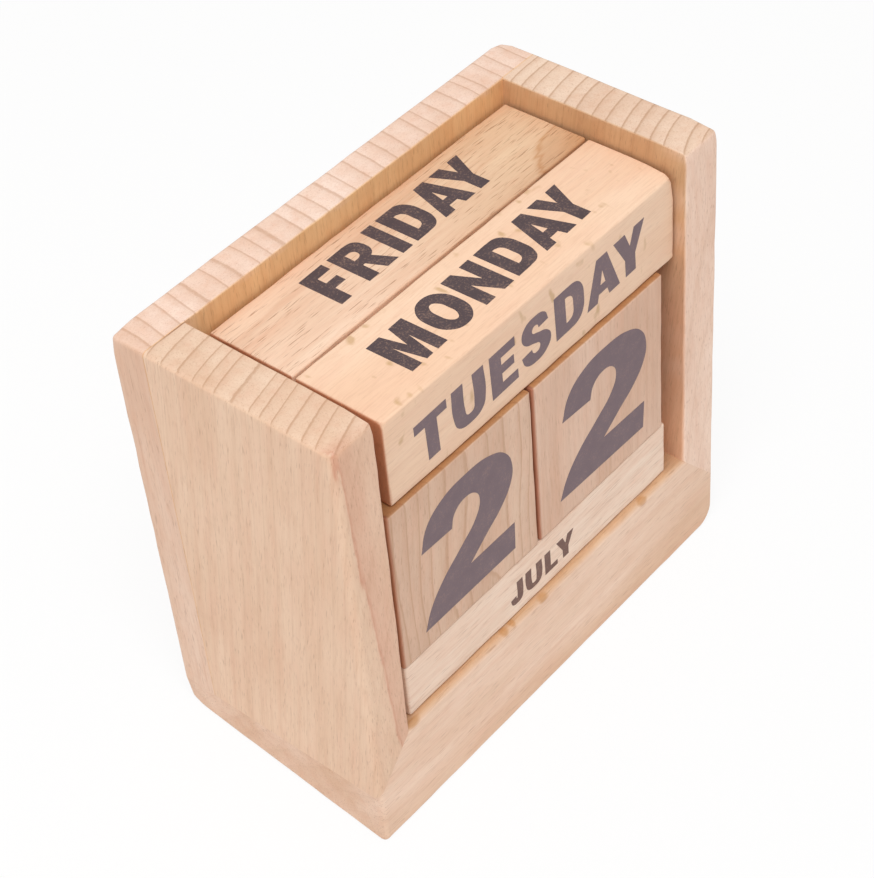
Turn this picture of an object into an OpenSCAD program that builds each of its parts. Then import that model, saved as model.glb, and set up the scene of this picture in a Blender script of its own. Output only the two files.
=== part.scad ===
// Perpetual desk calendar: a leaning wooden case that holds two number cubes,
// two weekday bars and three month bars, all loose. Millimetres, +Z up.
// The case is drawn upright, from its front lower left corner, then leant back
// onto the flat underside of its wedge-shaped base. The origin is the middle of
// the whole calendar's footprint on the desk. +Y points back, +X to the right.

/* [Blocks] */
// Edge of the two number cubes
cube_size = 37.6; // [30:0.1:48]
// Side of the square section of the two weekday bars
day_bar_size = 18.7; // [14:0.1:24]
// Length of the two weekday bars
day_bar_len = 78.2; // [60:0.1:100]
// Side of the square section of the three month bars
month_bar_size = 12.8; // [9:0.1:16]
// Length of the three month bars
month_bar_len = 76.6; // [60:0.1:100]
// Rounding along every edge of a block
block_edge_r = 0.5; // [0.3:0.1:1.5]

/* [Case] */
// Thickness of the left and right boards
side_wall = 9.7; // [6:0.1:14]
// Thickness of the back board
back_wall = 8.2; // [5:0.1:14]
// Height of the square ends of the base board, at the front
base_end_h = 12.5; // [10:0.5:20]
// Rise from there to the seat that the month bars lie on
seat_rise = 11.1; // [8:0.1:15]
// Angle that the case leans back
lean_angle = 7.5; // [0:0.5:9]
// Depth from the rim of the case down to the weekday bars
rim_depth = 4.8; // [4.5:0.1:20]
// Setback of the deepest row of blocks behind the front edge of the case
front_setback = 1.3; // [1:0.1:10]

/* [Worn edges] */
// Rounding of the upright outer edges at the front
front_edge_r = 1.2; // [0.5:0.1:4]
// Rounding of the upright outer edges at the back
back_edge_r = 1.2; // [0.5:0.1:4]
// Rounding of the outer edges around the top
top_edge_r = 0.8; // [0.5:0.1:4]
// Rounding of the front edge of the seat
seat_edge_r = 1; // [0.5:0.1:2]
// Rounding of the lower left corner
foot_left_r = 0.8; // [0.5:0.1:5]
// Rounding of the lower right corner
foot_right_r = 4; // [0.5:0.1:5]

/* [Play] */
// Room left at the left end of the longest row of blocks
side_play = 1.6; // [1:0.1:12]
// Gap between the right ends of the weekday bars and the right board
day_bar_end_gap = 0.5; // [0.1:0.1:3]
// Gap between the units cube and the right board
cube_end_gap = 5.3; // [0.1:0.1:6]
// Gap between the right ends of the month bars and the right board
month_bar_end_gap = 4.2; // [0.1:0.1:5]
// Gap between the two number cubes
cube_gap = 0.5; // [0.1:0.1:1]
// Gap between the rearmost bars and the back board
back_gap = 0.7; // [0.1:0.1:1]
// Gap between the cubes, which stand a little forward, and the back board
cube_back_gap = 1.9; // [0.1:0.1:2]
// Gap between the two weekday bars
day_bar_gap = 0.5; // [0.1:0.1:2]
// Gap below each block, and between one month bar and the next
rest_gap = 0.1; // [0.05:0.05:0.3]

/* [Foot joints] */
// Diameter of the hidden dowels
dowel_d = 4; // [3:0.5:4.5]
// Length of the hidden dowels
dowel_len = 14; // [10:0.5:18]
// Distance of the dowels from the front edge and from the back board
dowel_inset = 9; // [5:0.5:12]
// Room left for glue at each end of a dowel
dowel_end_room = 0.5; // [0.2:0.1:1]

/* [Hidden] */
$fn = 96;

// The room inside the case, set by the largest row of blocks each way
cube_row_len = 2 * cube_size + cube_gap + cube_end_gap;
day_row_len = day_bar_len + day_bar_end_gap;
month_row_len = month_bar_len + month_bar_end_gap;
cube_row_d = cube_size + cube_back_gap;
day_row_d = 2 * day_bar_size + day_bar_gap + back_gap;
month_row_d = 3 * month_bar_size + 2 * rest_gap + back_gap;
inner_w = max(cube_row_len, day_row_len, month_row_len) + side_play;
inner_d = max(cube_row_d, day_row_d, month_row_d) + front_setback;
case_w = inner_w + 2 * side_wall;
case_d = inner_d + back_wall;
right_board_x = case_w - side_wall;

// Heights in the upright case, from its front lower edge
base_top_z = base_end_h + seat_rise;
month_bar_z = base_top_z + rest_gap;
cube_z = month_bar_z + month_bar_size + rest_gap;
day_bar_z = cube_z + cube_size + rest_gap;
case_h = day_bar_z + day_bar_size + rim_depth;

// Depths of the blocks: the rearmost of each row lie near the back board
back_rest_y = inner_d - back_gap;
cube_y = inner_d - cube_back_gap - cube_size;
rear_day_y = back_rest_y - day_bar_size;
front_day_y = rear_day_y - day_bar_gap - day_bar_size;
month_pitch = month_bar_size + rest_gap;

// The worn top edge of the back board reaches furthest back once it leans
top_centre = [case_d - top_edge_r, case_h - top_edge_r];
reach_back = top_centre.x * cos(lean_angle) + top_centre.y * sin(lean_angle) + top_edge_r;

// The dowels cross the sloping foot joint at half their length
dowel_z = base_end_h + (seat_rise - dowel_len) / 2;
dowel_places = [for (x = [side_wall / 2, case_w - side_wall / 2], y = [dowel_inset, inner_d - dowel_inset]) [x, y]];

beech = "#E8C49C";
beech_base = "#E4BC90";
beech_block = "#EFCDA6";
dowel_wood = "#D9B184";

// Leans back what is drawn upright, and centres it on the origin
module leant() {
    translate([-case_w / 2, -reach_back / 2, 0])
        rotate([-lean_angle, 0, 0])
            children();
}

// A rectangle from (0, 0) with the corner radii given in the order lower
// left, lower right, upper right, upper left
module eased_rect(w, h, radii) {
    corners = [[0, 0], [w, 0], [w, h], [0, h]];
    inward = [[1, 1], [-1, 1], [-1, -1], [1, -1]];
    difference() {
        square([w, h]);
        for (i = [0:3])
            if (radii[i] > 0)
                difference() {
                    translate(corners[i] + radii[i] * inward[i] / 2)
                        square(radii[i], center = true);
                    translate(corners[i] + radii[i] * inward[i])
                        circle(r = radii[i]);
                }
    }
}

// Runs a front view, drawn in X and Z, back along Y from y = 0
module run_back(d) {
    translate([0, d, 0])
        rotate([90, 0, 0])
            linear_extrude(d)
                children();
}

// Runs a side view, drawn in Y and Z, right along X from x = 0
module run_right(w) {
    rotate([90, 0, 90])
        linear_extrude(w)
            children();
}

// A block with every edge rounded
module block(w, d, h) {
    four = [1, 1, 1, 1] * block_edge_r;
    intersection() {
        linear_extrude(h)
            eased_rect(w, d, four);
        run_back(d)
            eased_rect(w, h, four);
        run_right(w)
            eased_rect(d, h, four);
    }
}

// The outer form of the glued-up case. Its upright and top edges are worn
// where it leans, its lower corners and its flat underside where it stands.
module case_form() {
    intersection() {
        leant()
            linear_extrude(case_h)
                eased_rect(case_w, case_d, [front_edge_r, front_edge_r, back_edge_r, back_edge_r]);
        leant()
            run_right(case_w)
                eased_rect(case_d, case_h, [0, 0, top_edge_r, top_edge_r]);
        leant()
            run_back(case_d)
                eased_rect(case_w, case_h, [0, 0, top_edge_r, top_edge_r]);
        translate([-case_w / 2, -reach_back / 2, 0])
            run_back(reach_back)
                eased_rect(case_w, case_h, [foot_left_r, foot_right_r, 0, 0]);
    }
}

// The blind holes across the foot joints, shared by the base and the sides
module dowel_holes() {
    for (place = dowel_places)
        translate([place.x, place.y, dowel_z - dowel_end_room])
            cylinder(d = dowel_d, h = dowel_len + 2 * dowel_end_room);
}

// The front view of the left board, with its foot cut to the base's shoulder
module side_outline() {
    polygon([[0, base_end_h], [side_wall, base_top_z], [side_wall, case_h], [0, case_h]]);
}

// What is worn off the front edge of the seat, between the side boards. It
// starts in the air in front of the edge and ends in the air above it.
module seat_edge_wear() {
    translate([side_wall, 0, base_top_z - seat_edge_r])
        run_right(inner_w)
            difference() {
                translate([-seat_edge_r, 0])
                    square(2 * seat_edge_r);
                translate([seat_edge_r, 0])
                    circle(r = seat_edge_r);
            }
}

// Thick bottom board, planed to a wedge underneath. A rebate along its back
// takes the back board, and its shoulders slope down for the side boards.
module base_board() {
    color(beech_base)
        difference() {
            intersection() {
                case_form();
                leant()
                    difference() {
                        cube([case_w, case_d, base_top_z]);
                        translate([0, inner_d, base_end_h])
                            cube([case_w, back_wall, seat_rise]);
                        for (edge = [[0, side_wall], [case_w, right_board_x]])
                            run_back(inner_d)
                                polygon([[edge[0], base_end_h], [edge[1], base_top_z], [edge[0], base_top_z]]);
                        seat_edge_wear();
                    }
            }
            leant()
                dowel_holes();
        }
}

module left_side() {
    color(beech)
        difference() {
            intersection() {
                case_form();
                leant()
                    run_back(inner_d)
                        side_outline();
            }
            leant()
                dowel_holes();
        }
}

module right_side() {
    color(beech)
        difference() {
            intersection() {
                case_form();
                leant()
                    translate([case_w, 0, 0])
                        mirror([1, 0, 0])
                            run_back(inner_d)
                                side_outline();
            }
            leant()
                dowel_holes();
        }
}

// Full-width board behind both sides, standing in the rebate of the base
module back_panel() {
    color(beech)
        intersection() {
            case_form();
            leant()
                translate([0, inner_d, base_end_h])
                    cube([case_w, back_wall, case_h - base_end_h]);
        }
}

module joint_dowels() {
    color(dowel_wood)
        leant()
            for (place = dowel_places)
                translate([place.x, place.y, dowel_z])
                    cylinder(d = dowel_d, h = dowel_len);
}

// A weekday bar whose front face lies at depth y
module day_bar(y) {
    color(beech_block)
        leant()
            translate([right_board_x - day_bar_end_gap - day_bar_len, y, day_bar_z])
                block(day_bar_len, day_bar_size, day_bar_size);
}

// A number cube, counted from the right board
module number_cube(place) {
    color(beech_block)
        leant()
            translate([right_board_x - cube_end_gap - cube_size - place * (cube_size + cube_gap), cube_y, cube_z])
                block(cube_size, cube_size, cube_size);
}

// A month bar, counted from the back board
module month_bar(place) {
    color(beech_block)
        leant()
            translate([right_board_x - month_bar_end_gap - month_bar_len,
                back_rest_y - month_bar_size - place * month_pitch, month_bar_z])
                block(month_bar_len, month_bar_size, month_bar_size);
}

base_board();
left_side();
right_side();
back_panel();
joint_dowels();
day_bar(rear_day_y);  // rear_day_bar
day_bar(front_day_y);  // front_day_bar
number_cube(1);  // tens_cube
number_cube(0);  // units_cube
month_bar(2);  // front_month_bar
month_bar(1);  // middle_month_bar
month_bar(0);  // rear_month_bar
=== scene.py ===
# A perpetual desk calendar: a leaning beech case with an open front and top,
# in which two number cubes, two weekday bars and three month bars lie loose.
from math import cos, exp, pi, radians, sin, tan

import bpy
from mathutils import Matrix, Vector, noise


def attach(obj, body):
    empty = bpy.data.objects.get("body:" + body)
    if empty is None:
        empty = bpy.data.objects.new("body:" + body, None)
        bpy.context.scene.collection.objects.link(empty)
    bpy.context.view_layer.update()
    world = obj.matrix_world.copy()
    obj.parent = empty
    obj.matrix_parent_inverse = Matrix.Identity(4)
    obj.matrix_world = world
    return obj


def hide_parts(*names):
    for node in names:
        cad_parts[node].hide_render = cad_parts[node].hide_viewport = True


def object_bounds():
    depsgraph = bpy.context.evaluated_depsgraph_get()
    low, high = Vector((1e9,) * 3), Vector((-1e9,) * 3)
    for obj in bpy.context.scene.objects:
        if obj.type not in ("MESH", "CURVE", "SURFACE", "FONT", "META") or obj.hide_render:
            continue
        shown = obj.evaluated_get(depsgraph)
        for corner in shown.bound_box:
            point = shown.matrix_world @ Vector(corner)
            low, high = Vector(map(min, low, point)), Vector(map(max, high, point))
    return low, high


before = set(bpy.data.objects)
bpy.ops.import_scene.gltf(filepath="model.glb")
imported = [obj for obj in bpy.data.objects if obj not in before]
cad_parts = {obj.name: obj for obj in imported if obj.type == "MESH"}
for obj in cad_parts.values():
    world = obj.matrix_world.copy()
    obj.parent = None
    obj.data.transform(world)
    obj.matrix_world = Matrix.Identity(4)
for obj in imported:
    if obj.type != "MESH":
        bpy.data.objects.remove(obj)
cad_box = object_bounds()


# --- Camera ---------------------------------------------------------------
# A telephoto lens, forty centimetres away, that looks down on the front left
# corner, so that the front, the left side and the top of the calendar show.

camera = bpy.data.objects.new("camera", bpy.data.cameras.new("camera"))
camera.data.lens = 93.03
camera.data.sensor_fit = "HORIZONTAL"
camera.data.clip_start = 0.01
camera.location = (-0.21763, -0.16768, 0.35563)
camera.rotation_euler = (radians(41.409), radians(-1.743), radians(-50.139))
bpy.context.scene.collection.objects.link(camera)
bpy.context.scene.camera = camera


# --- Case -----------------------------------------------------------------
# Four beech boards, glued up and then sanded as one block: a wedge-shaped base
# with sloping shoulders, two sides that stand on them, and a back behind both.
# All are worked upright in millimetres, and then leant back onto the base.

case_w, case_d, case_h = 102.0, 49.0, 97.8
side_wall = 9.7
right_board_x = case_w - side_wall
inner_d = 40.8
base_end_h = 12.5
seat_z = 23.6
lean = radians(7.5)
mm = 0.001
leant_back = (Matrix.Translation((-case_w / 2 * mm, cad_box[0][1], 0))
              @ Matrix.Rotation(-lean, 4, "X") @ Matrix.Scale(mm, 4))

# how far sanding has rounded the edges of the case over
foot_round = 4.2
front_left_round, front_right_round = 1.4, 0.6
back_round = 0.9
rim_round = 0.8
inner_rim_round = 0.3
other_round = 0.7

sharp_angle = radians(35)
same_place = 0.01  # two places nearer than this are the same
spare = 10  # how far a blank that cuts stands past the wood


def take(piece):
    """Makes the piece the only one selected, and the one worked on."""
    bpy.ops.object.select_all(action="DESELECT")
    piece.select_set(True)
    bpy.context.view_layer.objects.active = piece


def finish_modifier(piece, kind, **settings):
    """Adds a modifier and applies it at once."""
    modifier = piece.modifiers.new(kind, kind)
    for name, value in settings.items():
        setattr(modifier, name, value)
    take(piece)
    bpy.ops.object.modifier_apply(modifier=modifier.name)


def blank(name, low, high):
    """A sawn blank whose sides lie exactly at two corners, so that blanks that touch share a plane."""
    bpy.ops.object.select_all(action="DESELECT")
    bpy.ops.mesh.primitive_cube_add(size=2)
    piece = bpy.context.object
    piece.name = name
    for vertex in piece.data.vertices:
        vertex.co = [b if side > 0 else a for side, a, b in zip(vertex.co, low, high)]
    return piece


def cut(piece, point, away, remove=True):
    """Saws through the piece, and drops the side that the normal points to."""
    take(piece)
    bpy.ops.object.mode_set(mode="EDIT")
    bpy.ops.mesh.select_all(action="SELECT")
    bpy.ops.mesh.bisect(plane_co=point, plane_no=away, use_fill=remove, clear_outer=remove, threshold=1e-4)
    bpy.ops.object.mode_set(mode="OBJECT")


def score(piece, axis, places):
    """Adds a row of points right round the piece at each of these places along an axis."""
    for place in places:
        point, normal = Vector(), Vector()
        point[axis], normal[axis] = place, 1
        cut(piece, point, normal, remove=False)


def steps(start, stop, spacing):
    """Places between two ends, at about this spacing."""
    count = max(2, round((stop - start) / spacing))
    return [start + (stop - start) * i / count for i in range(count + 1)]


def ease(piece, radius_at, segments):
    """Rounds the sharp edges, each by the radius that radius_at gives for its middle and direction."""
    take(piece)
    bpy.ops.object.mode_set(mode="EDIT")
    bpy.ops.mesh.select_mode(type="EDGE")
    bpy.ops.mesh.select_all(action="DESELECT")
    bpy.ops.mesh.edges_select_sharp(sharpness=sharp_angle)
    bpy.ops.object.mode_set(mode="OBJECT")
    mesh = piece.data
    radii = {}
    for edge in mesh.edges:
        if edge.select:
            a, b = (mesh.vertices[i].co for i in edge.vertices)
            radii[edge.index] = radius_at((a + b) / 2, (b - a).normalized())
    widest = max(radii.values())
    weights = mesh.attributes.new("bevel_weight_edge", "FLOAT", "EDGE")
    for index, radius in radii.items():
        weights.data[index].value = radius / widest
    finish_modifier(piece, "BEVEL", limit_method="WEIGHT", width=widest, segments=segments,
                    use_clamp_overlap=False, loop_slide=True)
    weights = piece.data.attributes.get("bevel_weight_edge")
    if weights:
        piece.data.attributes.remove(weights)


def wear_edges(piece, depth, length, seed):
    """Sands the rounded edges unevenly: never outwards, and nowhere on the flats."""
    for vertex in piece.data.vertices:
        if max(abs(n) for n in vertex.normal) < 0.985:
            wave = noise.noise(vertex.co / length + Vector((seed, 0, 0)))
            fine = noise.noise(vertex.co / length * 3.1 + Vector((0, seed, 0)))
            vertex.co -= vertex.normal * depth * max(0, 0.4 + wave + 0.4 * fine)


def hollow(piece, centre, reach, push):
    """Wears a soft hollow round a point."""
    for vertex in piece.data.vertices:
        near = 1 - (vertex.co - Vector(centre)).length / reach
        if near > 0:
            vertex.co += Vector(push) * near * near * (3 - 2 * near)


def stand(piece):
    """Leans a finished piece back into its place in the calendar, and smooths it."""
    piece.matrix_world = leant_back
    take(piece)
    bpy.ops.object.transform_apply()
    bpy.ops.object.shade_smooth_by_angle(angle=sharp_angle)
    finish_modifier(piece, "WEIGHTED_NORMAL", keep_sharp=True)


class Value:
    """A shader socket that takes part in sums."""

    def __init__(self, finish, socket):
        self.finish, self.socket = finish, socket

    def __add__(self, other):
        return self.finish.maths("ADD", self, other)

    def __sub__(self, other):
        return self.finish.maths("SUBTRACT", self, other)

    def __rsub__(self, other):
        return self.finish.maths("SUBTRACT", other, self)

    def __mul__(self, other):
        return self.finish.maths("MULTIPLY", self, other)

    def __truediv__(self, other):
        return self.finish.maths("DIVIDE", self, other)

    __radd__, __rmul__ = __add__, __mul__


class Finish:
    """A material under construction."""

    def __init__(self, name):
        self.material = bpy.data.materials.new(name)
        self.material.use_nodes = True
        self.tree = self.material.node_tree
        self.shader = self.tree.nodes["Principled BSDF"]

    def node(self, kind, settings, inputs, output=0):
        """Adds a node: its settings first, then the values or links of its sockets."""
        made = self.tree.nodes.new(kind)
        for name, value in settings.items():
            if name == "stops":
                ramp = made.color_ramp
                while len(ramp.elements) < len(value):
                    ramp.elements.new(1)
                for element, (place, level) in zip(ramp.elements, value):
                    element.position, element.color = place, (level, level, level, 1)
            else:
                setattr(made, name, value)
        for name, value in inputs.items():
            self.connect(made.inputs[name], value)
        return Value(self, made.outputs[output])

    def connect(self, socket, value):
        """Links a value to a socket, or sets the socket to a number or colour."""
        if isinstance(value, Value):
            self.tree.links.new(value.socket, socket)
        else:
            socket.default_value = value

    def maths(self, operation, *inputs):
        return self.node("ShaderNodeMath", {"operation": operation}, dict(enumerate(inputs)))

    def surface(self, **inputs):
        """Feeds the shader's sockets, named with _ for the spaces."""
        for name, value in inputs.items():
            self.connect(self.shader.inputs[name.replace("_", " ")], value)

    def noise(self, place, stretch, detail=2.0, roughness=0.5, seed=0.0):
        """Noise in millimetres, with so many waves per millimetre each way."""
        shift = (seed, seed * 0.7, seed * 1.3)
        scaled = self.node("ShaderNodeMapping", {}, {"Vector": place, "Location": shift, "Scale": stretch})
        return self.node("ShaderNodeTexNoise", {}, {"Vector": scaled, "Scale": 1.0, "Detail": detail,
                                                    "Roughness": roughness})

    def ramp(self, value, *stops):
        """Turns a value into another along straight stretches between stops."""
        return self.node("ShaderNodeValToRGB", {"stops": stops}, {"Fac": value})

    def rise(self, value, start, stop):
        """Goes from 0 to 1 while the value goes from start to stop."""
        return self.node("ShaderNodeMapRange", {}, {"Value": value, "From Min": start, "From Max": stop})

    def mix(self, mask, a, b, blend="MIX"):
        """Goes from colour a to colour b, or to a blended with b, as the mask goes from 0 to 1."""
        settings = {"data_type": "RGBA", "blend_type": blend}
        return self.node("ShaderNodeMix", settings, {0: mask, 6: a, 7: b}, 2)

    def parts(self, vector):
        """The three numbers of a vector."""
        split = self.tree.nodes.new("ShaderNodeSeparateXYZ")
        self.connect(split.inputs[0], vector)
        return [Value(self, out) for out in split.outputs]

    def upright(self):
        """The place on the piece in millimetres, as if the calendar stood upright."""
        place = self.node("ShaderNodeTexCoord", {}, {}, "Object")
        home = Matrix.Rotation(lean, 3, "X") @ Vector((case_w / 2, -cad_box[0][1] / mm, 0))
        return self.node("ShaderNodeMapping", {}, {"Vector": place, "Rotation": (lean, 0, 0),
                                                   "Location": home, "Scale": (1 / mm, 1 / mm, 1 / mm)})


def paint(code):
    """A colour as light, from its usual hex code."""
    levels = [int(code[i:i + 2], 16) / 255 for i in (1, 3, 5)]
    return tuple(v / 12.92 if v <= 0.04045 else ((v + 0.055) / 1.055) ** 2.4 for v in levels) + (1.0,)


def beech(name, fibres, heart, seed, pale="#EDCCB0", deep="#E2BB9C", ring_gap=3.0, rings=0.5, figure=0.12,
          streaks=0.3, dashes=0.3, pores=(0.4, 4.6), flecks=0.0, curl=1.0, ends="#FFFFFF", tinted=(),
          marks=None):
    """Sanded beech. fibres turns the upright case so that the grain runs along X, and heart is the middle
    of the tree across the grain. rings is how strongly the growth rings, ring_gap apart, show on end grain,
    and figure how strongly on the long faces. streaks, dashes and flecks are the strength of the broad
    streaks, of the short dark pores and of the golden flecks. curl bends the grain, and ends tints the end
    grain, on the blocks partly as painted shade. tinted lists faces with tints of their own, which on the
    case's inner faces, the seat and the cubes' sides are painted shade: the axis across the face, where the
    tint starts, where it is full, and the tint. marks adds what only this piece shows."""
    wood = Finish(name)
    upright = wood.upright()
    grain = wood.node("ShaderNodeMapping", {}, {"Vector": upright, "Rotation": fibres})
    along, across, up = wood.parts(grain)

    # the growth rings are cylinders round the tree's heart, bent a little along the grain
    bend = wood.noise(grain, (0.010, 0.03, 0.03), 2, 0.5, seed) - 0.5
    y = across - heart[0] + bend * (5 * curl)
    z = up - heart[1] + bend * (-4 * curl)
    round_heart = wood.node("ShaderNodeCombineXYZ", {}, {1: y, 2: z})
    radius = wood.node("ShaderNodeVectorMath", {"operation": "LENGTH"}, {0: round_heart}, 1)
    uneven = wood.node("ShaderNodeTexNoise", {"noise_dimensions": "1D"},
                       {"W": radius * 0.16 + seed, "Scale": 1.0, "Detail": 1.0})
    rough_line = wood.noise(grain, (0.25, 1.1, 1.1), 3, 0.6, seed + 2) * 0.10
    phase = wood.maths("FRACT", radius / ring_gap + uneven * 0.8 + rough_line)
    late_wood = wood.ramp(phase, (0.0, 0.2), (0.04, 0.0), (0.5, 0.05), (0.84, 0.3), (0.92, 1.0), (0.975, 1.0),
                          (1.0, 0.2))

    # the rings show as crisp lines where the fibres end, and softly along them
    normal = wood.node("ShaderNodeTexCoord", {}, {}, "Normal")
    for turn in ((lean, 0, 0), fibres):
        normal = wood.node("ShaderNodeMapping", {"vector_type": "NORMAL"},
                           {"Vector": normal, "Rotation": turn})
    end_on = wood.rise(wood.maths("ABSOLUTE", wood.parts(normal)[0]), 0.5, 0.85)

    tone = wood.noise(grain, (0.015, 0.07, 0.07), 3, 0.6, seed + 7)
    streak = wood.noise(grain, (0.02, 0.55, 0.55), 4, 0.62, seed + 3)
    fibre = wood.noise(grain, (0.14, 2.6, 2.6), 3, 0.65, seed + 11)
    pore = wood.rise(wood.noise(grain, (pores[0], pores[1], pores[1]), 1, 0.5, seed + 5), 0.62, 0.72)
    mottle = wood.noise(grain, (0.12, 0.35, 0.35), 3, 0.6, seed + 17)
    blot = wood.noise(grain, (0.42, 0.24, 0.24), 1, 0.5, seed + 23)
    angle = wood.maths("ARCTAN2", z, y) * 45.0
    ray_place = wood.node("ShaderNodeCombineXYZ", {}, {0: along * 0.3, 1: angle * 2.2, 2: radius * 0.3})
    rays = wood.node("ShaderNodeTexNoise", {}, {"Vector": ray_place, "Scale": 1.0, "Detail": 2.0,
                                                "Roughness": 0.6})

    colour = wood.mix(wood.rise(tone, 0.35, 0.65), paint(pale), paint(deep))
    for mask, tint in ((wood.rise(mottle, 0.45, 0.75) * 0.35, "#E9BB9F"),
                       (late_wood * (end_on * (rings - figure) + figure), "#B4845F"),
                       (wood.rise(streak, 0.5, 0.8) * streaks, "#D9A07C"),
                       (wood.rise(streak, 0.5, 0.25) * (streaks * 0.4), "#FBE2C4"),
                       (wood.rise(fibre, 0.48, 0.75) * 0.25, "#BE8F6C"),
                       (pore * dashes, "#9C6B4A"),
                       (wood.rise(rays, 0.55, 0.8) * 0.18, "#C99A78"),
                       (wood.rise(blot, 0.66, 0.76) * flecks, "#BA935C")):
        colour = wood.mix(mask, colour, paint(tint))
    # the end tint is the end grain's own colour, and on the blocks partly painted shade
    colour = wood.mix(end_on, colour, paint(ends), "MULTIPLY")
    # the face tints are mostly painted shade, on faces inside the case and in narrow gaps
    for axis, start, full, tint in tinted:
        face = wood.rise(wood.parts(upright)[axis], start, full)
        colour = wood.mix(face, colour, paint(tint), "MULTIPLY")
    if marks:
        colour = marks(wood, wood.parts(upright), end_on, streak - 0.5, colour)

    relief = wood.node("ShaderNodeBump", {}, {"Strength": 0.3, "Distance": 0.0001,
                                              "Height": fibre * 0.6 - pore * 0.5})
    wood.surface(Base_Color=colour, Roughness=0.52 + fibre * 0.2, Normal=relief, Specular_IOR_Level=0.8)
    return wood.material


def dress(piece, material, body, slot, *replaced):
    """Gives a piece its finish and its body, and hides the CAD nodes that it stands for. slot is not used."""
    piece.data.materials.clear()
    piece.data.materials.append(material)
    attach(piece, body)
    if replaced:
        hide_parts(*replaced)


upright_grain = (0, pi / 2, 0)
level_grain = (0, 0, 0)


def foot_radius(middle, along):
    """How far the lower right edge is rounded over, which is done first."""
    at_foot = middle.x > case_w - same_place and middle.z < base_end_h and abs(along.z) < 0.5
    return foot_round if at_foot else 0.0


def worn_radius(middle, along):
    """How far each other edge of the glued-up case is rounded over. The inner corners are sharp."""
    x, y, z = middle
    left, front, top = x < case_w / 2, y < same_place, z > case_h - same_place
    upright, sideways = abs(along.z) > 0.9, abs(along.x) > 0.9
    from_left, from_right, over_seat = x - side_wall, right_board_x - x, z - seat_z
    if abs(over_seat) < same_place:
        return 1.0 + 1.4 * exp(-from_left / 3) + 1.0 * exp(-from_right / 3) if front else 0.0
    if abs(y - inner_d) < same_place:
        return inner_rim_round if top else 0.0
    in_opening = side_wall - same_place < x < right_board_x + same_place
    if in_opening and upright:
        return 0.4 + (2.2 if left else 1.1) * exp(-over_seat / 3)
    if in_opening and abs(along.y) > 0.9:
        return inner_rim_round
    if upright and left:
        return front_left_round if front else back_round
    if upright or z < base_end_h and (x > case_w - 5 or sideways):
        return front_right_round if front else back_round
    return rim_round if top else other_round


glued_up = blank("glued_up", (0, 0, -2 * spare), (case_w, case_d, case_h))
cut(glued_up, (0, 0, 0), (0, sin(lean), -cos(lean)))
ease(glued_up, foot_radius, segments=8)
opening = blank("opening", (side_wall, -spare, seat_z), (right_board_x, inner_d, case_h + spare))
finish_modifier(glued_up, "BOOLEAN", operation="DIFFERENCE", object=opening, solver="EXACT")
bpy.data.objects.remove(opening)

# rows of points, closer near the corners, let the wear change along an edge and across a face
near_corner = (3.2, 5.0, 8.0)
score(glued_up, 0, [side_wall + d for d in near_corner] + steps(20, case_w - 20, 8)
      + [right_board_x - d for d in near_corner])
score(glued_up, 1, steps(6, inner_d - 6, 6))
score(glued_up, 2, [base_end_h] + [seat_z + d for d in near_corner] + steps(36, case_h - 6, 8))
ease(glued_up, worn_radius, segments=6)
score(glued_up, 0, steps(24, case_w - 24, 8) + [1.6, 2.6, 3.8, 5.2, 7.0]
      + [case_w - d for d in (5.2, 3.2, 1.7)])
score(glued_up, 1, steps(9, inner_d - 9, 6) + [case_d - d for d in (1.8, 3.0, 4.4, 6.0)])
score(glued_up, 2, steps(40, case_h - 10, 8) + [case_h - d for d in (1.4, 2.5, 3.8)])
wear_edges(glued_up, depth=0.12, length=7.0, seed=3.0)
for corner, reach, push in (
        ((0, case_d, case_h), 5.5, (0.3, -0.2, -0.4)),
        ((0, 0, case_h), 4.0, (0.3, 0.3, -0.5)),
        ((case_w, 0, case_h), 3.0, (-0.3, 0.2, -0.3)),
        ((case_w, case_d, case_h), 3.5, (-0.4, -0.3, -0.4)),
        ((0, case_d, case_d * tan(lean)), 4.0, (0.5, -0.3, 0.2)),
        ((side_wall, 0, case_h), 2.5, (-0.2, 0.3, -0.3)),
        ((right_board_x, 0, case_h), 3.0, (0.15, 0.2, -0.25))):
    hollow(glued_up, corner, reach, push)


def board(name, others, cutter):
    """One board of the case: what its cutter takes of the sanded block, or what the others leave."""
    piece = glued_up.copy()
    piece.data = glued_up.data.copy()
    piece.name = name
    bpy.context.scene.collection.objects.link(piece)
    for other in others:
        finish_modifier(piece, "BOOLEAN", operation="DIFFERENCE", object=other, solver="EXACT")
    if cutter:
        finish_modifier(piece, "BOOLEAN", operation="INTERSECT", object=cutter, solver="EXACT")
    return piece


# the back's joint lies a hair in front of its inner face, so that no cutter shares a plane with that face
joint_y = inner_d - 0.01
shoulder = Vector((seat_z - base_end_h, 0, -side_wall)).normalized()
below, above = -3 * spare, case_h + spare
left_cutter = blank("left_cutter", (-spare, -spare, below), (case_w / 2 - spare, joint_y, above))
cut(left_cutter, (0, 0, base_end_h), shoulder)
right_cutter = blank("right_cutter", (case_w / 2 + spare, -spare, below), (case_w + spare, joint_y, above))
cut(right_cutter, (case_w, 0, base_end_h), (-shoulder.x, 0, shoulder.z))
back_cutter = blank("back_cutter", (-spare, joint_y, base_end_h), (case_w + spare, case_d + spare, above))
left_side = board("left_side_board", (), left_cutter)
right_side = board("right_side_board", (), right_cutter)
back = board("back_board", (), back_cutter)
base = board("base_wedge", (left_cutter, right_cutter, back_cutter), None)
for spent in (glued_up, left_cutter, right_cutter, back_cutter):
    bpy.data.objects.remove(spent)
for piece in (left_side, right_side, back, base):
    stand(piece)

# the side boards' grain runs straight up from the desk, so it slopes across the leaning boards
side_grain = (-lean, pi / 2, 0)


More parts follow.
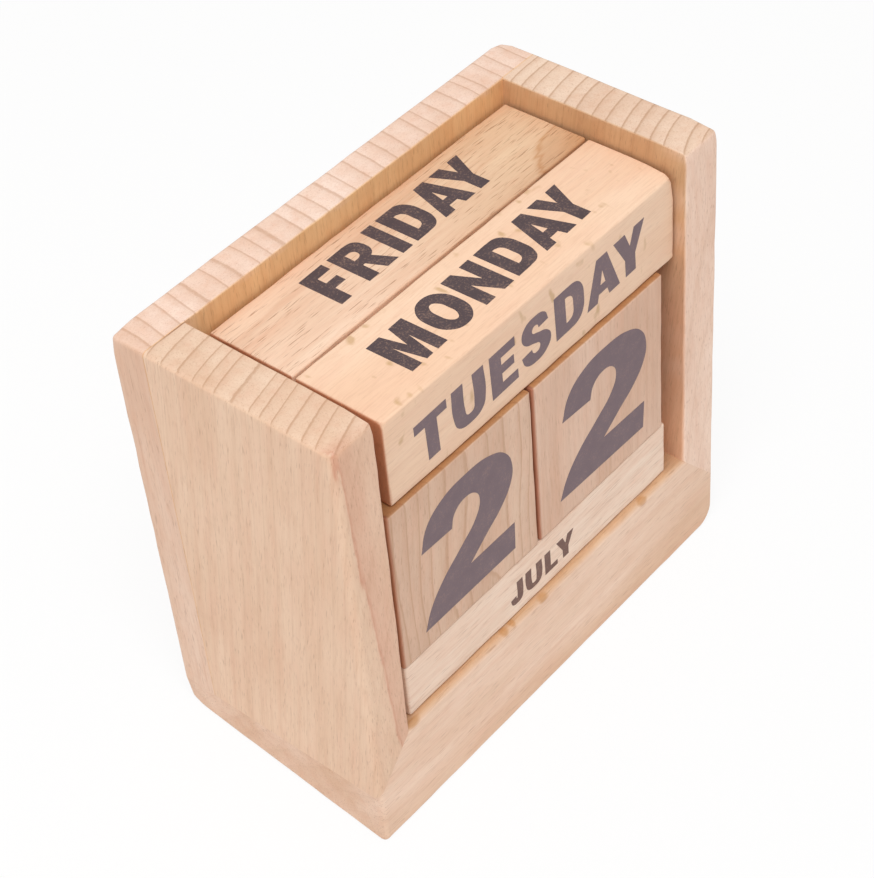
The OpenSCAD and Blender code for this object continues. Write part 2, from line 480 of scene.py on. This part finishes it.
def heartwood(wood, place, end_on, wander, colour):
    """A reddish streak that slopes inwards down the front of the left board, and the dark line of the
    board's joint with the back, on top."""
    x, y, z = place
    streak_x, streak_top, slope = 1.0, 97, 0.078
    inwards = x - streak_x - (streak_top - z) * slope + wander * 3
    streak = wood.ramp(wood.rise(inwards, -1, 5), (0.0, 0.0), (0.1, 0.1), (0.17, 0.75), (0.25, 0.42),
                       (0.6, 0.35), (1.0, 0.2))
    colour = wood.mix(streak * wood.rise(y, 3.0, 1.0), colour, paint("#E4BCB2"), "MULTIPLY")
    joint = wood.rise(y, joint_y - 0.35, joint_y - 0.1) * end_on * wood.rise(x, 1.0, 7.0)
    return wood.mix(joint, colour, paint("#A98468"), "MULTIPLY")


def painted_rim_shade(wood, place, end_on, wander, colour):
    """Painted shade on the inner face of the right board, darker and browner towards the rim."""
    x, y, z = place
    inside = wood.rise(x, right_board_x + 0.3, right_board_x)
    return wood.mix(inside * wood.rise(z, 60, 92), colour, paint("#E9EDDD"), "MULTIPLY")


def glue_beads(wood, place, end_on, wander, colour):
    """Drops of dried glue along the front edge of the seat."""
    x, y, z = place
    height = 1.4
    for bead_x, bead_y, width in ((48, 0.2, 1.4), (37, 0.6, 1.1), (39.5, 0.9, 0.7), (79, 0.5, 1.3),
                                  (11, 0.5, 1.8)):
        across, inwards, up = (x - bead_x) / width, y - bead_y, (z - seat_z) / height
        reach = wood.maths("SQRT", across * across + inwards * inwards + up * up) + wander * 2
        colour = wood.mix(wood.rise(reach, 1.1, 0.5) * 0.6, colour, paint("#B87D3A"))
    return colour


# the left board's inner face is tinted darker and oranger: painted shade inside the case
dress(left_side,
      beech("beech_left", side_grain, heart=(-40, -23), seed=1.7, ring_gap=2.8, rings=0.6, ends="#F8FBFE",
            tinted=[(0, side_wall - 0.3, side_wall, "#EFDBC0")], marks=heartwood),
      "case", "case_beech", "left_side")
# the right board's inner face is tinted darker: painted shade inside the case
dress(right_side,
      beech("beech_right", side_grain, heart=(-5.7, -103.5), seed=4.2, ring_gap=3.0, rings=0.6,
            pale="#F8DAC6", deep="#EDCAB4", ends="#F2F3EE",
            tinted=[(0, right_board_x + 0.3, right_board_x, "#F2D8BF")], marks=painted_rim_shade),
      "case", "case_beech", "right_side")
# the back's inner face is tinted amber: painted shade inside the case; its left face has a slightly darker
# tint
dress(back,
      beech("beech_back", upright_grain, heart=(55, 100), seed=6.1, ring_gap=3.6, rings=0.5,
            pale="#F3D9C9", deep="#E7C5B0",
            tinted=[(1, inner_d + 0.3, inner_d, "#F9E6B8"), (0, 0.6, 0.1, "#F6EDE3")]),
      "case", "case_beech", "back_panel")
# the seat is tinted darker: painted shade under and in front of the month bars
dress(base,
      beech("beech_base", level_grain, heart=(-30, -60), seed=9.3, ring_gap=4.5, rings=0.1, figure=0.05,
            pale="#F3D4BD", dashes=0.35, pores=(0.25, 3.6), ends="#F7F4F3",
            tinted=[(2, seat_z - 0.9, seat_z, "#DCCDB5")], marks=glue_beads),
      "case", "base_beech", "base_board")

# the dowels stay out of sight, inside the foot joints
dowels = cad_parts["joint_dowels"]
dowels.data.materials.clear()
dowels.data.materials.append(beech("beech_dowels", upright_grain, heart=(20, 40), seed=2.0))


# --- Blocks ---------------------------------------------------------------
# Seven loose beech blocks, cut from square stock and lightly eased all round:
# three thin month bars, two number cubes on them, and two weekday bars on top.

block_ease = 0.5
cube = 37.6
day_bar_len, day_bar_side = 78.2, 18.7
month_bar_len, month_bar_side = 76.6, 12.8
rest_gap, cube_gap, day_bar_gap = 0.1, 0.5, 0.5
day_bar_end_gap, cube_end_gap, month_bar_end_gap = 0.5, 5.3, 4.2
back_rest_y = inner_d - 0.7
cube_y = inner_d - 1.9 - cube
month_z = seat_z + rest_gap
cube_z = month_z + month_bar_side + rest_gap
day_z = cube_z + cube + rest_gap

blocks = {}


def block(name, corner, size, seed, hollows=()):
    """A loose block from its lower left front corner, eased, worn and leant back into its place."""
    corner, size = Vector(corner), Vector(size)
    blocks[name] = (corner, size)
    piece = blank(name + "_block", corner, corner + size)
    ease(piece, lambda middle, along: block_ease, segments=4)
    for axis in range(3):
        score(piece, axis, steps(corner[axis] + 1.5, corner[axis] + size[axis] - 1.5, 3.5))
    wear_edges(piece, depth=0.12, length=5.0, seed=seed)
    for place, reach, push in hollows:
        hollow(piece, corner + Vector(place), reach, push)
    stand(piece)
    return piece


for name, place, wood in (
        ("front_month_bar", 2, dict(heart=(-60, 40), seed=12.5, ring_gap=4.0, rings=0.3, pores=(0.25, 3.6),
                                    pale="#F9E2CF", deep="#F1D5BF")),
        ("middle_month_bar", 1, dict(heart=(-40, -70), seed=14.1, ring_gap=4.0, rings=0.4)),
        ("rear_month_bar", 0, dict(heart=(50, 60), seed=16.9, ring_gap=4.0, rings=0.4))):
    corner = (right_board_x - month_bar_end_gap - month_bar_len,
              back_rest_y - month_bar_side - place * (month_bar_side + rest_gap), month_z)
    piece = block(name, corner, (month_bar_len, month_bar_side, month_bar_side), seed=20.0 + place)
    dress(piece, beech("beech_" + name, level_grain, **wood), name, "block_beech", name)

for name, place, painted_side_shade, wood in (
        ("tens_cube", 1, "#DDB59F",
         dict(fibres=(0, pi / 2 - 0.12, 0.1), heart=(-16, 12), seed=21.3, ring_gap=2.6, rings=0.45,
              figure=0.5, pale="#DEBCA3", deep="#D0A98E", curl=5.0)),
        ("units_cube", 0, "#C5967D",
         dict(fibres=upright_grain, heart=(-60, -10), seed=24.8, ring_gap=2.6, rings=0.35,
              figure=0.15, pale="#E1BEA7", deep="#D4AC92"))):
    left = right_board_x - cube_end_gap - cube - place * (cube + cube_gap)
    piece = block(name, (left, cube_y, cube_z), (cube, cube, cube), seed=30.0 + place)
    # painted shade: the sides, seen only in the dark slits beside and between the cubes, are tinted browner
    sides = [(0, left + 0.6, left + 0.2, painted_side_shade), (0, left + cube - 0.4, left + cube, painted_side_shade)]
    # the end grain on top is tinted browner: its own colour, and partly painted shade under the day bars
    dress(piece, beech("beech_" + name, ends="#C9AA7C", tinted=sides, **wood), name, "block_beech", name)


def figure_and_corner_shade(wood, place, end_on, wander, colour):
    """Browner wood towards the right end of the rear bar, and a darker growth ring that closes there;
    the darkest part, at the bar's front right corner, is partly painted shade.
    """
    x, y, z = place
    colour = wood.mix(wood.rise(x, 35, 80), colour, paint("#F2EDDF"), "MULTIPLY")
    along, across = (x - 94) / 18, (y - 20) / 10.6
    reach = wood.maths("SQRT", along * along + across * across) + wander * 0.4
    ring = wood.ramp(reach, (0.0, 0.95), (0.36, 0.7), (0.56, 0.45), (0.73, 0.4), (0.79, 0.85), (0.83, 0.3),
                     (0.88, 0.0))
    return wood.mix(ring, colour, paint("#DFC2A2"), "MULTIPLY")


worn_ends = [((day_bar_len, 0, day_bar_side), 2.8, (-0.5, 0.5, -0.4)),
             ((0, 0, day_bar_side), 1.8, (0.4, 0.5, -0.4))]
for name, y, hollows, wood in (
        ("front_day_bar", back_rest_y - 2 * day_bar_side - day_bar_gap, worn_ends,
         dict(heart=(30, 70), seed=33.7, ring_gap=5.5, rings=0.15, figure=0.05, streaks=0.2, dashes=0.12,
              flecks=0.6, pale="#F1CFB2", deep="#ECC4A4")),
        ("rear_day_bar", back_rest_y - day_bar_side, (),
         dict(heart=(10, 24), seed=38.2, ring_gap=4.5, rings=0.5, figure=0.15, streaks=0.5, dashes=0.7,
              pores=(0.24, 4.4), pale="#F0D1B7", deep="#E0B99C", curl=2.5, marks=figure_and_corner_shade))):
    corner = (right_board_x - day_bar_end_gap - day_bar_len, y, day_z)
    piece = block(name, corner, (day_bar_len, day_bar_side, day_bar_side), seed=40.0, hollows=hollows)
    # the ends are tinted browner: the end grain's own colour, and partly painted shade where the front bar's
    # left end shows in the dark gap by the left board
    dress(piece, beech("beech_" + name, level_grain, ends="#CBA088", **wood), name, "block_beech", name)


# --- Print ----------------------------------------------------------------
# Plain block capitals and figures, printed in dark ink on the faces of the
# blocks. Each is drawn 100 high; a third number marks a point on a round.

capitals = {
    "A": (86, [[(0, 0), (29, 100), (57, 100), (86, 0), (58, 0), (53.5, 17), (31, 17), (27, 0)],
               [(36, 36), (49.5, 36), (42.8, 68)]]),
    "B": (75, [[(0, 0), (0, 100), (40, 100), (61, 95, 1), (70, 76, 1), (65, 60, 1), (54, 53), (69, 45, 1),
                (75, 28, 1), (66, 6, 1), (44, 0)],
               [(27, 61), (27, 80), (37, 80), (44, 76, 1), (44, 65, 1), (37, 61)],
               [(27, 20), (27, 42), (38, 42), (47, 37, 1), (47, 25, 1), (38, 20)]]),
    "C": (75, [[(74, 66), (70, 84, 1), (58, 97, 1), (39, 102, 1), (11, 89, 1), (0, 50, 1), (11, 11, 1),
                (39, -2, 1), (60, 3, 1), (71, 17, 1), (75, 36), (48, 39), (46, 27, 1), (38, 20, 1),
                (30, 28, 1), (27, 50, 1), (30, 72, 1), (38, 80, 1), (45, 75, 1), (47, 64)]]),
    "D": (74, [[(0, 0), (0, 100), (32, 100), (57, 96, 1), (70, 80, 1), (74, 50, 1), (70, 20, 1),
                (57, 4, 1), (32, 0)],
               [(27, 21), (27, 79), (33, 79), (43, 73, 1), (46.5, 50, 1), (43, 27, 1), (33, 21)]]),
    "E": (64, [[(0, 0), (0, 100), (62, 100), (62, 79), (27, 79), (27, 62), (57, 62), (57, 42), (27, 42),
                (27, 21), (64, 21), (64, 0)]]),
    "F": (61, [[(0, 0), (0, 100), (61, 100), (61, 79), (27, 79), (27, 59), (55, 59), (55, 38), (27, 38),
                (27, 0)]]),
    "G": (80, [[(77, 65), (71, 86, 1), (59, 98, 1), (40, 102, 1), (11, 89, 1), (0, 50, 1), (11, 11, 1),
                (37, -2, 1), (50, 2, 1), (58, 11), (60, 0), (80, 0), (80, 54), (43, 54), (43, 36),
                (54, 36), (51, 24, 1), (41, 20, 1), (31, 28, 1), (27, 50, 1), (31, 73, 1), (40, 80, 1),
                (48, 75, 1), (50, 65)]]),
    "H": (76, [[(0, 0), (0, 100), (27, 100), (27, 62), (49, 62), (49, 100), (76, 100), (76, 0), (49, 0),
                (49, 39), (27, 39), (27, 0)]]),
    "I": (27, [[(0, 0), (0, 100), (27, 100), (27, 0)]]),
    "J": (56, [[(29, 100), (56, 100), (56, 34, 1), (50, 8, 1), (27, -2, 1), (5, 7, 1), (-1, 32), (24, 36),
                (26, 23, 1), (29, 34, 1)]]),
    "L": (59, [[(0, 0), (0, 100), (27, 100), (27, 22), (59, 22), (59, 0)]]),
    "M": (92, [[(0, 0), (0, 100), (34, 100), (46, 48), (58, 100), (92, 100), (92, 0), (67, 0), (67, 64),
                (54, 0), (38, 0), (25, 64), (25, 0)]]),
    "N": (76, [[(0, 0), (0, 100), (27, 100), (51, 48), (51, 100), (76, 100), (76, 0), (50, 0), (25, 54),
                (25, 0)]]),
    "O": (82, [[(41, 102, 1), (71, 88, 1), (82, 50, 1), (71, 12, 1), (41, -2, 1), (11, 12, 1), (0, 50, 1),
                (11, 88, 1)],
               [(41, 80, 1), (51, 72, 1), (54.5, 50, 1), (51, 28, 1), (41, 20, 1), (31, 28, 1),
                (27.5, 50, 1), (31, 72, 1)]]),
    "P": (71, [[(0, 0), (0, 100), (40, 100), (63, 93, 1), (71, 69, 1), (63, 43, 1), (40, 36), (27, 36),
                (27, 0)],
               [(27, 56), (27, 80), (36, 80), (44, 75, 1), (44, 61, 1), (36, 56)]]),
    "R": (79, [[(0, 0), (0, 100), (42, 100), (64, 94, 1), (73, 71, 1), (68, 52, 1), (57, 44), (80, 0),
                (50, 0), (33, 38), (27, 38), (27, 0)],
               [(27, 57), (27, 80), (38, 80), (46, 75, 1), (46, 62, 1), (38, 57)]]),
    "S": (72, [[(44, 70), (68, 72), (61, 93, 1), (36, 102, 1), (10, 94, 1), (2, 73, 1), (10, 54, 1),
                (32, 42, 1), (44, 33, 1), (42, 22, 1), (34, 19, 1), (27, 23, 1), (24, 33), (-1, 31),
                (7, 8, 1), (35, -2, 1), (62, 8, 1), (72, 30, 1), (63, 49, 1), (40, 61, 1), (28, 69, 1),
                (30, 79, 1), (37, 81, 1), (42, 78, 1)]]),
    "T": (75, [[(24, 0), (24, 79), (0, 79), (0, 100), (75, 100), (75, 79), (51, 79), (51, 0)]]),
    "U": (76, [[(0, 100), (27, 100), (27, 36, 1), (30, 23, 1), (38, 20, 1), (46, 23, 1), (49, 36, 1),
                (49, 100), (76, 100), (76, 34, 1), (67, 8, 1), (38, -2, 1), (9, 8, 1), (0, 34, 1)]]),
    "V": (80, [[(0, 100), (28, 100), (41, 36), (54, 100), (80, 100), (55, 0), (26, 0)]]),
    "W": (116, [[(0, 100), (27, 100), (36, 44), (46, 100), (72, 100), (82, 44), (91, 100), (116, 100),
                 (97, 0), (70, 0), (59, 54), (47, 0), (20, 0)]]),
    "Y": (82, [[(0, 100), (30, 100), (42, 64), (54, 100), (82, 100), (55, 39), (55, 0), (28, 0),
                (28, 39)]]),
}
figures = {
    "0": (84, [[(42, 102, 1), (72, 88, 1), (84, 50, 1), (72, 12, 1), (42, -2, 1), (12, 12, 1), (0, 50, 1),
                (12, 88, 1)],
               [(42, 79, 1), (52, 71, 1), (55, 50, 1), (52, 29, 1), (42, 21, 1), (32, 29, 1), (29, 50, 1),
                (32, 71, 1)]]),
    "1": (52, [[(22, 0), (22, 69), (0, 69), (0, 84), (17, 88, 1), (28, 100), (52, 100), (52, 0)]]),
    "2": (88, [[(0, 0), (87, 0), (88, 23), (45, 23), (62, 36, 1), (77, 47, 1), (87, 60, 1), (89.5, 73, 1),
                (84, 88, 1), (70, 97.5, 1), (47, 100.5, 1), (25, 97, 1), (10, 86, 1), (3.5, 67.5),
                (31.5, 66.5), (35, 77, 1), (45, 82, 1), (55, 78, 1), (58, 68.5, 1), (53, 57, 1),
                (38, 44.5, 1), (20, 31, 1), (7, 16, 1)]]),
    "3": (85, [[(3, 71), (13, 93, 1), (41, 101, 1), (70, 93, 1), (80, 73, 1), (74, 58, 1), (62, 52),
                (78, 44, 1), (85, 27, 1), (74, 6, 1), (41, -2, 1), (10, 7, 1), (0, 30), (28, 33),
                (32, 22, 1), (42, 18, 1), (53, 22, 1), (57, 31, 1), (53, 40, 1), (43, 43), (32, 43),
                (32, 60), (42, 60), (50, 63, 1), (53, 71, 1), (50, 78, 1), (42, 81, 1), (33, 78, 1),
                (30, 71)]]),
    "4": (89, [[(50, 0), (50, 20), (0, 20), (0, 40), (45, 100), (77, 100), (77, 39), (89, 39), (89, 20),
                (77, 20), (77, 0)],
               [(50, 39), (50, 69), (26, 39)]]),
    "5": (84, [[(8, 100), (77, 100), (77, 79), (33, 79), (31, 65), (39, 68, 1), (49, 69, 1), (75, 60, 1),
                (84, 34, 1), (73, 8, 1), (40, -2, 1), (10, 7, 1), (0, 30), (28, 33), (32, 22, 1),
                (42, 18, 1), (53, 23, 1), (56, 34, 1), (52, 45, 1), (42, 49, 1), (34, 47, 1), (29, 41),
                (3, 44)]]),
    "6": (84, [[(80, 73), (72, 93, 1), (47, 102, 1), (13, 88, 1), (0, 47, 1), (12, 10, 1), (43, -2, 1),
                (73, 8, 1), (84, 33, 1), (75, 57, 1), (50, 66, 1), (37, 63, 1), (28, 55), (31, 73, 1),
                (37, 81, 1), (45, 83, 1), (51, 79, 1), (53, 71)],
               [(42, 47, 1), (52, 43, 1), (56, 32, 1), (52, 20, 1), (42, 16, 1), (32, 20, 1), (29, 31, 1),
                (32, 43, 1)]]),
    "7": (80, [[(0, 100), (0, 79), (48, 79), (29, 50, 1), (18, 24, 1), (14, 0), (43, 0), (47, 30, 1),
                (58, 56, 1), (80, 84), (80, 100)]]),
    "8": (84, [[(42, 101, 1), (70, 94, 1), (79, 75, 1), (73, 59, 1), (63, 52), (79, 43, 1), (85, 27, 1),
                (74, 6, 1), (42, -2, 1), (10, 6, 1), (-1, 27, 1), (5, 43, 1), (21, 52), (11, 59, 1),
                (5, 75, 1), (14, 94, 1)],
               [(42, 82, 1), (50, 79, 1), (53, 71, 1), (50, 63, 1), (42, 60, 1), (34, 63, 1), (31, 71, 1),
                (34, 79, 1)],
               [(42, 42, 1), (52, 38, 1), (56, 29, 1), (52, 20, 1), (42, 16, 1), (32, 20, 1), (28, 29, 1),
                (32, 38, 1)]]),
}
letter_gap = 14
sloping_sides = {"A": 6, "V": 6, "W": 6, "Y": 6, "T": 2, "O": 2, "C": 2, "G": 2, "S": 2}
closer_pairs = {"AY": 14, "LY": 10, "RY": 4, "AV": 12, "AT": 8, "DA": 2}
ink_low, ink_high = -0.05, 0.03
nearly_touching = 0.002

# each face of a block: where its lower left corner lies, its reading direction and its up
faces = {
    "front": ((0, 0, 0), (1, 0, 0), (0, 0, 1)),
    "top": ((0, 0, 1), (1, 0, 0), (0, 1, 0)),
    "back": ((0, 1, 1), (1, 0, 0), (0, 0, -1)),
    "bottom": ((0, 1, 0), (1, 0, 0), (0, -1, 0)),
    "left": ((0, 1, 0), (0, -1, 0), (0, 0, 1)),
    "right": ((1, 0, 0), (0, 1, 0), (0, 0, 1)),
}


def lettering(name, text, cap, width, glyphs):
    """Draws a word in a flat curve, at its cap height and width, and makes it a thin sheet of ink."""
    curve = bpy.data.curves.new(name, "CURVE")
    curve.dimensions, curve.fill_mode, curve.resolution_u = "2D", "BOTH", 6
    curve.extrude = (ink_high - ink_low) / 2
    pen = 0.0
    outlines = []
    for i, letter in enumerate(text):
        if i:
            pen += letter_gap - sloping_sides.get(text[i - 1], 0) - sloping_sides.get(letter, 0)
            pen -= closer_pairs.get(text[i - 1] + letter, 0)
        advance, shapes = glyphs[letter]
        outlines += [[(p[0] + pen, p[1], len(p) > 2) for p in shape] for shape in shapes]
        pen += advance
    for outline in outlines:
        spline = curve.splines.new("BEZIER")
        spline.use_cyclic_u = True
        spline.bezier_points.add(len(outline) - 1)
        for point, (x, y, is_round) in zip(spline.bezier_points, outline):
            point.co = (x * width / pen, y * cap / 100, 0)
            point.handle_left_type = point.handle_right_type = "AUTO" if is_round else "VECTOR"
    word = bpy.data.objects.new(name, curve)
    bpy.context.scene.collection.objects.link(word)
    take(word)
    bpy.ops.object.convert(target="MESH")
    return bpy.context.object


def printed(block_name, words):
    """Prints words on a block: face, ink, text, cap height, width, left margin, foot margin and slant."""
    name = "print_" + block_name
    corner, size = blocks[block_name]
    sheets = []
    for face, ink, text, cap, width, left, foot, slant in words:
        sheet = lettering("%s_%s" % (name, face), text, cap, width, figures if text.isdigit() else capitals)
        start, reading, up = (Vector(v) for v in faces[face])
        outward = reading.cross(up)
        on_face = Matrix((reading, up, outward)).transposed().to_4x4()
        on_face.translation = (corner + Vector(a * b for a, b in zip(start, size))
                               + outward * (ink_low + ink_high) / 2)
        slanted = Matrix.Rotation(radians(slant), 4, "Z")
        sheet.matrix_world = on_face @ Matrix.Translation((left, foot, 0)) @ slanted
        take(sheet)
        bpy.ops.object.transform_apply()
        sheet.data.materials.append(ink)
        sheets.append(sheet)
    take(sheets[0])
    for sheet in sheets:
        sheet.select_set(True)
    bpy.ops.object.join()
    print_of_block = bpy.context.object
    print_of_block.name = name
    bpy.ops.object.mode_set(mode="EDIT")
    bpy.ops.mesh.select_all(action="SELECT")
    bpy.ops.mesh.remove_doubles(threshold=nearly_touching)
    bpy.ops.mesh.normals_make_consistent(inside=False)
    bpy.ops.object.mode_set(mode="OBJECT")
    print_of_block.matrix_world = leant_back
    bpy.ops.object.transform_apply()
    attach(print_of_block, block_name)


def printing_ink(name, colour, cover, worn):
    """Dark ink, clouded between two colours, and rubbed thin in specks so that the wood comes through."""
    ink = Finish(name)
    upright = ink.upright()
    specks = ink.noise(upright, (2.2, 2.2, 2.2), 3, 0.7, 3.3)
    clouds = ink.noise(upright, (0.35, 0.35, 0.35), 2, 0.5, 8.1)
    rubbed = ink.rise(specks * 0.75 + clouds * 0.25, 0.52, 0.72)
    inked = ink.mix(clouds, paint(colour), paint(cover))
    tone = ink.mix(rubbed * worn, inked, paint("#C8A184"))
    relief = ink.node("ShaderNodeBump", {}, {"Strength": 0.2, "Distance": 0.0001, "Height": specks})
    ink.surface(Base_Color=tone, Roughness=0.5 + specks * 0.2, Normal=relief, Specular_IOR_Level=0.4)
    return ink.material


# the paler ink on the day bars' fronts and on the cubes is partly a thinner print and partly painted sheen on
# the same ink
dense_ink = printing_ink("dense_ink", "#493B3D", "#534448", worn=0.45)
dark_ink = printing_ink("dark_ink", "#6E4F46", "#785A52", worn=0.35)
thin_ink_with_sheen = printing_ink("thin_ink_with_sheen", "#705D63", "#7A676D", worn=0.25)

printed("front_day_bar", [
    ("top", dense_ink, "MONDAY", 9.8, 51.9, 12.4, 4.1, 1.7),
    ("front", thin_ink_with_sheen, "TUESDAY", 9.6, 62.4, 7.3, 3.0, 2.2),
    ("bottom", thin_ink_with_sheen, "WEDNESDAY", 10.0, 68.0, 5.0, 4.2, 0.0),
    ("back", dense_ink, "THURSDAY", 10.0, 66.0, 6.0, 4.2, 0.0)])
printed("rear_day_bar", [
    ("top", dense_ink, "FRIDAY", 9.7, 42.8, 18.2, 5.3, 1.2),
    ("front", thin_ink_with_sheen, "SATURDAY", 10.0, 64.0, 7.0, 4.2, 0.0),
    ("bottom", dense_ink, "SUNDAY", 10.0, 52.0, 13.0, 4.2, 0.0)])

# the width of each figure on the faces of a cube where it stands straight
figure_height, figure_foot = 28.2, 5.0
figure_widths = {"0": (23.7, 7.4), "1": (14.7, 11.8), "3": (24.0, 7.2), "4": (25.1, 6.6), "5": (23.7, 7.4),
                 "6": (23.7, 7.4), "7": (22.6, 7.9), "8": (23.7, 7.4)}
for name, front, others in (
        ("tens_cube", ("front", thin_ink_with_sheen, "2", 27.7, 25.1, 6.2, 4.3, 0.3), "01345"),
        ("units_cube", ("front", thin_ink_with_sheen, "2", 27.5, 25.5, 6.15, 5.2, -1.4), "01678")):
    printed(name, [front] + [
        (face, thin_ink_with_sheen, figure, figure_height, figure_widths[figure][0], figure_widths[figure][1],
         figure_foot, 0.0)
        for face, figure in zip(("right", "back", "left", "top", "bottom"), others)])

months = {"front_month_bar": ("JULY", "AUGUST", "SEPTEMBER", "OCTOBER"),
          "middle_month_bar": ("NOVEMBER", "DECEMBER", "JANUARY", "FEBRUARY"),
          "rear_month_bar": ("MARCH", "APRIL", "MAY", "JUNE")}
month_widths = {"JULY": 18.7, "AUGUST": 27.5, "SEPTEMBER": 41.0, "OCTOBER": 34.0, "NOVEMBER": 38.5,
                "DECEMBER": 37.0, "JANUARY": 33.0, "FEBRUARY": 37.0, "MARCH": 27.0, "APRIL": 22.5,
                "MAY": 14.0, "JUNE": 18.5}
month_height, month_foot, month_slant = 5.3, 2.8, 0.5
for name, four in months.items():
    printed(name, [
        (face, dark_ink, text, month_height, month_widths[text], (month_bar_len - month_widths[text]) / 2,
         month_foot, month_slant)
        for face, text in zip(("front", "bottom", "back", "top"), four)])


# --- Floor and light ------------------------------------------------------
# A plain white floor that glows a little to the camera alone, so that it adds
# no light to the wood, under one broad soft lamp and even light all round.

floor_glow = 0.86

bpy.ops.object.select_all(action="DESELECT")
bpy.ops.mesh.primitive_plane_add(size=6)
floor = bpy.context.object
floor.name = "floor"
white = Finish("white_floor")
white.surface(Base_Color=(0.86, 0.86, 0.86, 1), Roughness=0.9, Specular_IOR_Level=0.1)
matt = Value(white, white.shader.outputs[0])
glow = white.node("ShaderNodeEmission", {}, {"Color": (1, 1, 1, 1), "Strength": 1.0})
seen = white.node("ShaderNodeLightPath", {}, {}, "Is Camera Ray")
mixed = white.node("ShaderNodeMixShader", {}, {0: seen * floor_glow, 1: matt, 2: glow})
white.connect(white.tree.nodes["Material Output"].inputs[0], mixed)
floor.data.materials.append(white.material)

lamp = bpy.data.objects.new("overhead", bpy.data.lights.new("overhead", "AREA"))
lamp.data.shape, lamp.data.size = "DISK", 0.5
lamp.data.energy = 4.6
lamp.location = (-0.28, -0.14, 0.85)
lamp_target = Vector((0, 0, 0.05))
lamp.rotation_euler = (lamp_target - lamp.location).to_track_quat("-Z", "Y").to_euler()
bpy.context.scene.collection.objects.link(lamp)

world = bpy.data.worlds.new("studio")
bpy.context.scene.world = world
world.use_nodes = True
world.node_tree.nodes["Background"].inputs["Color"].default_value = (1.0, 0.985, 0.97, 1)
world.node_tree.nodes["Background"].inputs["Strength"].default_value = 0.62

bpy.context.scene.view_settings.view_transform = "Standard"

bpy.context.view_layer.update()
